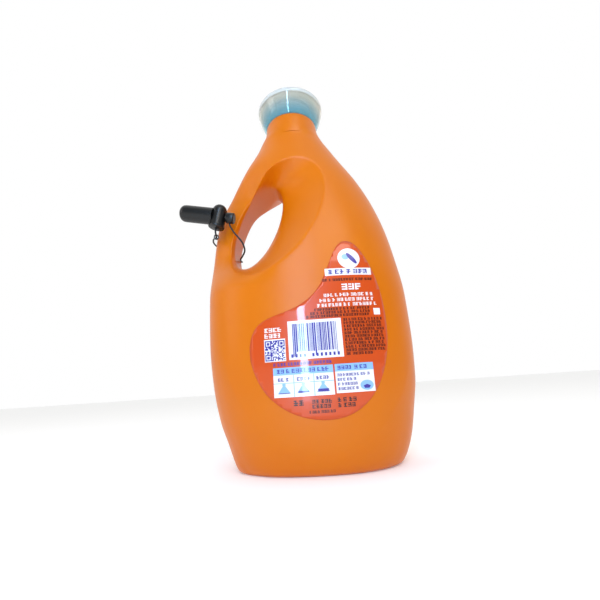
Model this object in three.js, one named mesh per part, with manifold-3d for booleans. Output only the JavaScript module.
// A 3 kg laundry detergent bottle: a blow-moulded body with a hand hole, a snap-on collar, a drain-back pour spout,
// a two-shot dosing cap, two film labels, and a retail security tag on a lanyard round the handle.
// Millimetres, +Z up. The origin is at the middle of the base, the back label faces -Y and the handle is at -X.
import * as THREE from "three";
import { ParametricGeometry } from "three/addons/geometries/ParametricGeometry.js";
import { mergeVertices } from "three/addons/utils/BufferGeometryUtils.js";
import Module from "manifold-3d";

// ---- driving dimensions ----
const NECK_X = -3.2; // the neck stands this far off the middle of the base
const NECK_R = 25.3; // radius where the shoulder meets the collar
const BODY_TOP = 286; // the shoulder rises to here at its sides, round the collar
const SEAT_Z = 273.7; // floor of the collar's seat
const WALL = 1.8; // blow-moulded wall
const BORE_R = 20.1; // neck's bore
const FINISH_TOP = 290.6; // top of the neck's finish
const COLLAR_TOP = 294.9;
const CAP_TOP = 318;
const SIDES = 36; // sides of the round pieces

// Reach to the left and right, and half the depth, as [height, size].
const LEFT = [[0, 56], [1.5, 58.3], [4, 59.8], [8, 61.4], [18, 64.9], [35, 71.1], [60, 76.1], [90, 78.6], [120, 79],
  [150, 78.4], [175, 76.5], [200, 72.8], [225, 60.7], [250, 46.7], [265, 37.5], [274, 33.1], [284, NECK_R - NECK_X]];
const RIGHT = [[0, 57.5], [1.5, 61], [4, 63.2], [8, 65.5], [18, 69.4], [27, 71.8], [35, 73.4], [60, 77.9], [90, 79.1], [120, 78.6],
  [150, 75], [175, 70.8], [200, 64], [225, 53.7], [250, 39.5], [265, 31], [274, 25.9], [284, NECK_R + NECK_X]];
const DEPTH = [[0, 36], [1.5, 38.8], [4, 40.4], [8, 41.8], [18, 43.5], [35, 45], [60, 46.3], [90, 47], [120, 47],
  [160, 44], [200, 38], [240, 31], [266, 26.2], [274, NECK_R]];

// The hand hole and the dish pressed in round it: middle, half sizes, and lean from upright in radians.
const HOLE = { x: -36, z: 191, long: 40, wide: 15.6, lean: 0.4 };
const DISH = { x: -18.8, z: 190.5, long: 58, wide: 33, lean: 0.53 };
const RIM_Y = 9; // half depth of the body at the hole's edge
// The skirt below the label panel is drawn back outside this arc.
const PANEL = { x: 6, z: 98, wide: 68, long: 84, slope: 0.2 };
// The grip is slimmer than the body: its share taken off, and where that comes in along -X and up the height.
const GRIP = { share: 0.5, from: 18, over: 26, low: [128, 166], high: [212, 252] };

// The security tag's own frame: where its lock stands, and how far the tag leans out of level.
const TAG = { x: -67.2, y: -25, z: 196.5, lean: 0.21 };

// ---- solids ----
const wasm = await Module();
wasm.setup();

// Makes a manifold of a geometry, facing outwards and without the slivers at its poles.
function solid(geometry) {
  const bare = geometry.clone();
  bare.deleteAttribute("normal");
  bare.deleteAttribute("uv");
  const merged = mergeVertices(bare, 1e-3);
  const p = merged.attributes.position;
  const corner = [0, 1, 2].map(() => new THREE.Vector3());
  const kept = [];
  let volume = 0;
  for (let i = 0; i < merged.index.count; i += 3) {
    const ids = [0, 1, 2].map((k) => merged.index.getX(i + k));
    if (new Set(ids).size < 3) continue;
    kept.push(...ids);
    ids.forEach((id, k) => corner[k].fromBufferAttribute(p, id));
    volume += corner[0].dot(corner[1].clone().cross(corner[2]));
  }
  if (volume < 0) for (let i = 0; i < kept.length; i += 3) [kept[i], kept[i + 1]] = [kept[i + 1], kept[i]];
  const data = { numProp: 3, vertProperties: new Float32Array(p.array), triVerts: new Uint32Array(kept) };
  return new wasm.Manifold(new wasm.Mesh(data));
}

function geometryOf(body) {
  const made = body.getMesh();
  const geometry = new THREE.BufferGeometry();
  geometry.setAttribute("position", new THREE.BufferAttribute(made.vertProperties, 3));
  geometry.setIndex(new THREE.BufferAttribute(made.triVerts, 1));
  return geometry;
}

// Turns a profile of [radius, height] points about +Z.
function turned(profile, sides = SIDES) {
  const points = profile.map(([r, z]) => new THREE.Vector2(r, z));
  return new THREE.LatheGeometry(points, sides).rotateX(Math.PI / 2);
}
const onNeck = (profile, sides) => solid(turned(profile, sides).translate(NECK_X, 0, 0));
// The same about the tag's +X, with [radius, x] points.
const alongX = (profile, sides = 24) => solid(turned(profile, sides).rotateY(Math.PI / 2));
const loop = (...points) => [...points, points[0]];

// A round wire along a path.
function wire(points, radius, steps, sides = 8) {
  const section = new THREE.Shape();
  section.absarc(0, 0, radius, 0, 2 * Math.PI, false);
  const path = new THREE.CatmullRomCurve3(points.map((p) => new THREE.Vector3(...p)));
  return solid(new THREE.ExtrudeGeometry(section, { steps, extrudePath: path, curveSegments: sides }));
}

// A helix of points about the neck.
function helix(x, radius, fromZ, lead, turns, start, perTurn = 12) {
  return Array.from({ length: Math.round(turns * perTurn) + 1 }, (_, i) => {
    const a = start + (i / perTurn) * 2 * Math.PI;
    return [x + radius * Math.cos(a), radius * Math.sin(a), fromZ + (i / perTurn) * lead];
  });
}

// ---- the body's form ----
// A monotone cubic through [height, size] pairs.
function curve(pairs) {
  const n = pairs.length;
  const chord = (i) => (pairs[i + 1][1] - pairs[i][1]) / (pairs[i + 1][0] - pairs[i][0]);
  const slope = pairs.map((_, i) => {
    if (i === 0) return chord(0);
    if (i === n - 1) return 0;
    const [a, b] = [chord(i - 1), chord(i)];
    return a * b <= 0 ? 0 : (2 * a * b) / (a + b);
  });
  return (z) => {
    const at = Math.min(Math.max(z, pairs[0][0]), pairs[n - 1][0]);
    let i = 0;
    while (i < n - 2 && at > pairs[i + 1][0]) i++;
    const h = pairs[i + 1][0] - pairs[i][0];
    const t = (at - pairs[i][0]) / h;
    const ends = pairs[i][1] * (1 + 2 * t) * (1 - t) ** 2 + pairs[i + 1][1] * t * t * (3 - 2 * t);
    return ends + h * t * (1 - t) * (slope[i] * (1 - t) - slope[i + 1] * t);
  };
}
const left = curve(LEFT);
const right = curve(RIGHT);
const depth = curve(DEPTH);
const clamp = (v) => Math.min(Math.max(v, 0), 1);

function ovalPoint(oval, angle, grow) {
  const [c, s] = [Math.cos(oval.lean), Math.sin(oval.lean)];
  const across = (oval.wide + grow) * Math.cos(angle);
  const along = (oval.long + grow) * Math.sin(angle);
  return [oval.x + across * c + along * s, oval.z - across * s + along * c];
}

// Half depth of the outside at (x, z), given the plain oval's half depth there: the grip is slimmed, and the
// skirt is drawn back a little.
function panelled(x, plain, z) {
  const ease = (v) => clamp(v) ** 2 * (3 - 2 * clamp(v));
  const up = ease((z - GRIP.low[0]) / (GRIP.low[1] - GRIP.low[0])) * ease((GRIP.high[1] - z) / (GRIP.high[1] - GRIP.high[0]));
  const half = plain * (1 - GRIP.share * up * ease((-x - GRIP.from) / GRIP.over));
  const beyond = Math.hypot((x - PANEL.x) / PANEL.wide, (z - PANEL.z) / PANEL.long) - 1;
  if (beyond <= 0 || z >= PANEL.z) return half;
  return half - PANEL.slope * Math.min(beyond * 60, 22) * clamp(half / 30) * clamp((PANEL.z - z) / 40);
}

const squareness = (z) => 2 + 0.6 * clamp((BODY_TOP - 20 - z) / 120);

// Rows of the outside and of the cavity, as [share of the ring, height]: over the base, up the side, over the top.
function bodyRows(floor, top, steps) {
  const up = Array.from({ length: steps }, (_, i) => floor + 8 + ((top - floor - 8) * i) / (steps - 1));
  const foot = [floor, floor + 1.5, floor + 4].map((z) => [1, z]);
  return [[0, floor], [0.5, floor], ...foot, ...up.map((z) => [1, z]), [0.5, top], [0, top]];
}

// Gives the point at (u round, v up) on the outside, or on the cavity when inset is the wall.
function bodyPoint(inset, rows) {
  const top = rows[rows.length - 1][1];
  return (u, v, target) => {
    const row = Math.round(v * (rows.length - 1));
    const [ring, z] = rows[row];
    const closing = inset ? BORE_R + (top - z) * 1.3 : 1e3;
    const [l, r, d] = [left(z) - inset, right(z) - inset, depth(z) - inset];
    const middle = (r - l) / 2;
    const half = (r + l) / 2;
    const power = 2 / squareness(z);
    const c = Math.cos(u * 2 * Math.PI);
    const s = Math.sin(u * 2 * Math.PI);
    let x = middle + half * Math.sign(c) * Math.abs(c) ** power;
    let y = panelled(x, d * Math.abs(s) ** power, z) * Math.sign(s);
    const out = Math.hypot(x - NECK_X, y);
    if (out > closing) {
      x = NECK_X + ((x - NECK_X) * closing) / out;
      y *= closing / out;
    }
    const atX = row < 3 ? middle : NECK_X;
    target.set(atX + (x - atX) * ring, y * ring, z);
  };
}
const bodyForm = (inset, rows, sides) => solid(new ParametricGeometry(bodyPoint(inset, rows), sides, rows.length - 1));

function faceY(x, z) {
  const [l, r] = [left(z), right(z)];
  const off = clamp(Math.abs(x - (r - l) / 2) / ((r + l) / 2));
  const n = squareness(z);
  return panelled(x, depth(z) * (1 - off ** n) ** (1 / n), z);
}

// The dish's cutter on one face: it runs out from the hole's edge to the crease, and from there straight out.
// The throat's cutter joins the two. Both grow by the wall when they keep the cavity clear.
function dishCutter(side, grow) {
  const steps = 7;
  return solid(
    new ParametricGeometry(
      (u, v, target) => {
        const row = Math.round(v * (steps + 3)) - 1;
        const t = clamp(row / steps);
        const angle = u * 2 * Math.PI;
        const [x0, z0] = ovalPoint(HOLE, angle + 0.03, grow - 0.6);
        const [x1, z1] = ovalPoint(DISH, angle, grow);
        const crease = faceY(...ovalPoint(DISH, angle, 0)) - 0.8;
        const share = row < 0 || row > steps + 1 ? 0 : 1;
        const x = HOLE.x + share * (x0 + (x1 - x0) * t - HOLE.x);
        const z = HOLE.z + share * (z0 + (z1 - z0) * t - HOLE.z);
        const y = row > steps ? 60 : RIM_Y + (crease - RIM_Y) * t ** 0.7 - grow * 1.2;
        target.set(x, side * y, z);
      },
      40,
      steps + 3,
    ),
  );
}

function throatCutter(grow) {
  const throat = new THREE.CylinderGeometry(1, 1, 40, 40).scale(HOLE.wide + grow, 1, HOLE.long + grow);
  return solid(throat.rotateY(HOLE.lean).translate(HOLE.x, 0, HOLE.z));
}

// ---- materials ----
const paint = (color, roughness, metalness = 0) => new THREE.MeshStandardMaterial({ color, roughness, metalness });
const orangePlastic = paint(0xe27a1b, 0.35);
const clearPlastic = paint(0xd8dcd6, 0.1);
const tealPlastic = paint(0x5fa5b5, 0.12);
const whitePlastic = paint(0xf0f0ec, 0.4);
const labelFilm = paint(0xdc5a22, 0.2);
const blackPlastic = paint(0x23221f, 0.35);
const steel = paint(0xb4b7ba, 0.3, 1);
const ferrite = paint(0x4a4a4c, 0.6);
const copper = paint(0xb8703c, 0.35, 1);
const blackCord = paint(0x151515, 0.6);

const bottle = new THREE.Group();
function mesh(name, body, material, parent = bottle) {
  const made = new THREE.Mesh(geometryOf(body), material.clone());
  made.name = name;
  parent.add(made);
  return made;
}

// ---- bottle body ----
function bottleBody() {
  const outside = bodyForm(0, bodyRows(0, BODY_TOP, 42), 56);
  const inside = bodyForm(WALL, bodyRows(WALL, 271.5, 26), 36);
  const seat = onNeck(loop([NECK_R + 0.3, SEAT_Z], [NECK_R + 0.3, 300], [0, 300], [0, SEAT_Z]));
  const finish = onNeck(loop([0, SEAT_Z - 1], [22.3, SEAT_Z - 1], [22.3, 278.8], [23.2, 279.6], [23.2, 281.2], [22.3, 282],
    [22.3, FINISH_TOP], [0, FINISH_TOP]));
  const bore = onNeck(loop([0, 268], [BORE_R, 268], [BORE_R, 300], [0, 300]));
  const handle = (grow) => throatCutter(grow).add(dishCutter(-1, grow)).add(dishCutter(1, grow));
  const pushUp = solid(new THREE.CylinderGeometry(1, 1, 2.4, 40).rotateX(Math.PI / 2).scale(42, 25, 1));
  return outside
    .subtract(inside.subtract(handle(WALL)))
    .subtract(handle(0))
    .subtract(seat)
    .add(finish)
    .subtract(bore)
    .subtract(pushUp);
}
mesh("bottle_body", bottleBody(), orangePlastic);

// ---- collar, spout and seal ----
const THREAD = { lead: 12, turns: 0.7 }; // two starts
function collar() {
  const skirt = onNeck(loop([NECK_R, 274.1], [24.9, 281], [24, 290], [23.6, 293.6], [23, COLLAR_TOP], [18.4, COLLAR_TOP],
    [18.4, 272], [15, 272], [15, 270.4], [19.8, 270.4], [19.8, 291.2], [22.7, 291.2], [22.7, 283.2], [23.7, 282.6],
    [23.7, 278.4], [22.7, 277.8], [22.7, 274.1]));
  const ridges = [0, Math.PI].map((a) => wire(helix(NECK_X, 18.4, 279, THREAD.lead, THREAD.turns, a), 1, 20, 4));
  return skirt.add(ridges[0]).add(ridges[1]);
}
mesh("pour_collar", collar(), orangePlastic);

function spout() {
  const tube = onNeck(loop([11.3, 265], [12.5, 265], [12.5, 272.3], [18, 272.3], [18, 273.8], [12.5, 273.8], [12.5, 297],
    [13.6, 302], [12.5, 302], [11.3, 297]));
  const lip = solid(new THREE.BoxGeometry(60, 40, 20).rotateY(0.3).translate(NECK_X, 0, 309.5));
  const drain = solid(new THREE.BoxGeometry(3.2, 7, 6).translate(NECK_X + 15, 0, 273));
  return tube.subtract(lip).subtract(drain);
}
mesh("pour_spout", spout(), whitePlastic);

const cap = new THREE.Group();
cap.name = "cap";
bottle.add(cap);
mesh("cap_seal", onNeck(loop([17.2, 295.2], [20.6, 295.2], [20.6, 296.2], [17.2, 296.2])), whitePlastic, cap);

// ---- dosing cap: the threaded outer wall, and the clear measuring cup seen as its top ----
function capWall() {
  const wall = onNeck(loop([15.3, 275.2], [16.8, 275.2], [16.8, 296.5], [21.4, 296.5], [21.4, 295.3], [23.3, 295.3],
    [26.6, 301.2], [29.3, 307.6], [30.4, 312.2], [28.9, 312.2], [27.8, 308], [25.2, 302], [22.4, 297.9], [15.3, 297.9]));
  const ridges = [0, Math.PI].map((a) => wire(helix(NECK_X, 16.8, 276.5, THREAD.lead, THREAD.turns, a + 0.35), 1, 20, 4));
  return wall.add(ridges[0]).add(ridges[1]);
}
mesh("cap_wall", capWall(), tealPlastic, cap);
mesh(
  "cap_top",
  onNeck(loop([0, 315.6], [19, 315.4], [20, 314.6], [21, 315.2], [27, 315], [28.7, 312.5], [30.5, 312.5], [30.8, 314.4],
    [30.5, 316], [29.4, 317.1], [24, 317.7], [0, CAP_TOP])),
  clearPlastic,
  cap,
);

// ---- film labels ----
// The labels' outline: a tall wedge on the right that runs into a round belly on the left.
function labelOutline() {
  const path = new THREE.Shape();
  path.moveTo(31.4, 157.8);
  path.bezierCurveTo(24, 157, 20.5, 143, 15, 132);
  path.bezierCurveTo(10, 121, 5, 116, -5, 110.6);
  path.bezierCurveTo(-14, 106, -26, 105, -33, 99.5);
  path.bezierCurveTo(-41, 93, -42.5, 78, -36, 64);
  path.bezierCurveTo(-29, 46, -10, 35, 10, 34.9);
  path.bezierCurveTo(38, 34.5, 54, 60, 55, 94);
  path.bezierCurveTo(55.5, 118, 50, 136, 43.5, 148);
  path.bezierCurveTo(40, 154.5, 36.5, 158.2, 31.4, 157.8);
  return new THREE.Shape(path.getPoints(6));
}

function label(side) {
  const skin = (off) =>
    solid(
      new ParametricGeometry(
        (u, v, target) => {
          const ring = v > 0.99 ? 0 : clamp(v / 0.9);
          const x = 5 + 62 * ring * Math.cos(u * 2 * Math.PI);
          const z = 96 + 75 * ring * Math.sin(u * 2 * Math.PI);
          target.set(x, side * (v > 0.95 ? 0 : faceY(x, z) + off), z);
        },
        24,
        13,
      ),
    );
  const outline = new THREE.ExtrudeGeometry(labelOutline(), { depth: 100, bevelEnabled: false });
  const prism = solid(outline.rotateX(Math.PI / 2).translate(0, side > 0 ? 100 : 0, 0));
  return skin(1).subtract(skin(0.5)).intersect(prism);
}
mesh("back_label", label(-1), labelFilm);
mesh("front_label", label(1), labelFilm);

// ---- security tag: case, alarm parts, ball clutch, pin and lanyard, about the tag's own frame ----
const tag = new THREE.Group();
tag.position.set(TAG.x, TAG.y, TAG.z);
tag.rotation.y = TAG.lean;
bottle.add(tag);
const slab = (x, y, z, at) => solid(new THREE.BoxGeometry(x, y, z).translate(...at));

function tagCase() {
  const bar = alongX([[0, -32.5], [3.5, -32.3], [5.8, -31], [6.9, -28.8], [7, -26], [7, -4], [0, -4]]);
  const dome = solid(turned([[0, -10], [6.2, -10], [6.6, -9], [6.1, -7.6], [6.1, 4.5], [5.3, 7.6], [3.4, 9.8], [0, 10.6]], 24));
  const coilRoom = alongX([[0, -31], [5.6, -31], [5.6, -17], [0, -17]]);
  const clutchRoom = alongX([[0, -15.8], [5, -15.8], [5, 1], [0, 1]]);
  const lockRoom = solid(turned([[0, -8.6], [4.7, -8.6], [4.7, 5], [3, 8], [0, 8.6]], 24));
  const pinBore = alongX([[0, 0], [1.5, 0], [1.5, 9], [0, 9]]);
  const cordHole = solid(turned([[0, -12], [1.1, -12], [1.1, -8], [0, -8]], 16));
  return bar.add(dome).subtract(coilRoom.add(clutchRoom).add(lockRoom).add(pinBore).add(cordHole));
}
const shells = tagCase();
mesh("tag_shell_front", shells.intersect(slab(60, 20, 40, [-12, -10.1, 0])), blackPlastic, tag);
mesh("tag_shell_rear", shells.intersect(slab(60, 20, 40, [-12, 10.1, 0])), blackPlastic, tag);
mesh("tag_ferrite", alongX([[0, -30.4], [2.4, -30.4], [2.4, -17.6], [0, -17.6]]), ferrite, tag);
mesh("tag_coil", alongX(loop([2.7, -28.5], [3.7, -28.5], [3.7, -19.5], [2.7, -19.5])), copper, tag);
mesh("tag_capacitor", slab(3, 2.4, 1, [-24, 0, -4.55]), ferrite, tag);
mesh("cord_ferrule", solid(turned([[0, -7.6], [1.8, -7.6], [1.8, -5.6], [0, -5.6]], 16)), steel, tag);

// The clutch: three balls in a sliding carrier, squeezed on the pin by the cup's taper.
mesh("clutch_cup", alongX(loop([1.6, -4.6], [4.6, -4.6], [4.6, -13.6], [4, -13.6], [4, -10], [2.7, -5.4], [1.6, -5.4])), steel, tag);
const BALL_R = 0.9;
const ballAt = (k) => [-7.2, 1.96 * Math.cos((k * 2 * Math.PI) / 3), 1.96 * Math.sin((k * 2 * Math.PI) / 3)];
function carrier() {
  let body = alongX(loop([1.3, -5.9], [2.4, -5.9], [3.45, -10], [3.45, -11.4], [1.3, -11.4]));
  for (let k = 0; k < 3; k++) body = body.subtract(solid(new THREE.SphereGeometry(1.25, 12, 8).translate(...ballAt(k))));
  return body;
}
mesh("clutch_carrier", carrier(), steel, tag);
for (let k = 0; k < 3; k++) {
  const ball = new THREE.SphereGeometry(BALL_R, 12, 8).translate(...ballAt(k));
  mesh(`clutch_ball_${k + 1}`, solid(ball), steel, tag);
}
const coilPoints = Array.from({ length: 37 }, (_, i) => {
  const a = (i / 12) * 2 * Math.PI;
  return [-15.2 + (i / 36) * 3.2, 2.6 * Math.cos(a), 2.6 * Math.sin(a)];
});
mesh("clutch_spring", wire(coilPoints, 0.3, 48, 3), steel, tag);
mesh("lock_pin", alongX([[0, -11.2], [0.5, -11.2], [1, -10.2], [1, 8.6], [0, 8.6]], 16), steel, tag);
mesh(
  "pin_head",
  alongX(loop([0, 8.9], [1.3, 8.9], [1.3, 6.8], [4.1, 6.8], [4.5, 7.3], [4.5, 12.8], [3.9, 13.5], [0, 13.5])).subtract(
    solid(turned([[0, -6], [1.1, -6], [1.1, -2.4], [0, -2.4]], 12).translate(10.8, 0, 0)),
  ),
  blackPlastic,
  tag,
);

// The lanyard: out of the pin's head, through the hand hole, back round the handle and up into the lock.
const CORD_R = 0.7;
const LANYARD = [
  [-57.2, -25, 191.7], [-57.9, -25, 188.2], [-54.4, -24.6, 181.4], [-48.8, -22.4, 173.8], [-47.6, -17.4, 168.4],
  [-50.8, -11.6, 165.7], [-54, -5, 165.7], [-55.4, 2, 167], [-56.2, 10, 169.2], [-58.6, 18, 172.4], [-64, 20.6, 176.2],
  [-70.6, 17.4, 180.4], [-76.6, 9.6, 183.6], [-78.9, 0, 185], [-76.6, -8.6, 184.6], [-72.3, -14.8, 183], [-71.4, -17.6, 182.2],
  [-70.5, -20.4, 181.4], [-69.9, -23.6, 181.5], [-69.8, -25, 184.2], [-68.95, -25, 188.3],
];
mesh("lanyard", wire(LANYARD, CORD_R, 80, 4), blackCord);
const crimpWall = loop([1.35, -1.9], [2.1, -1.9], [2.1, 1.9], [1.35, 1.9]);
const crimp = solid(turned(crimpWall, 16).rotateX(1.836).rotateZ(0.311));
mesh("lanyard_crimp", crimp.translate([-71.4, -17.6, 182.2]), blackPlastic);

export default bottle;
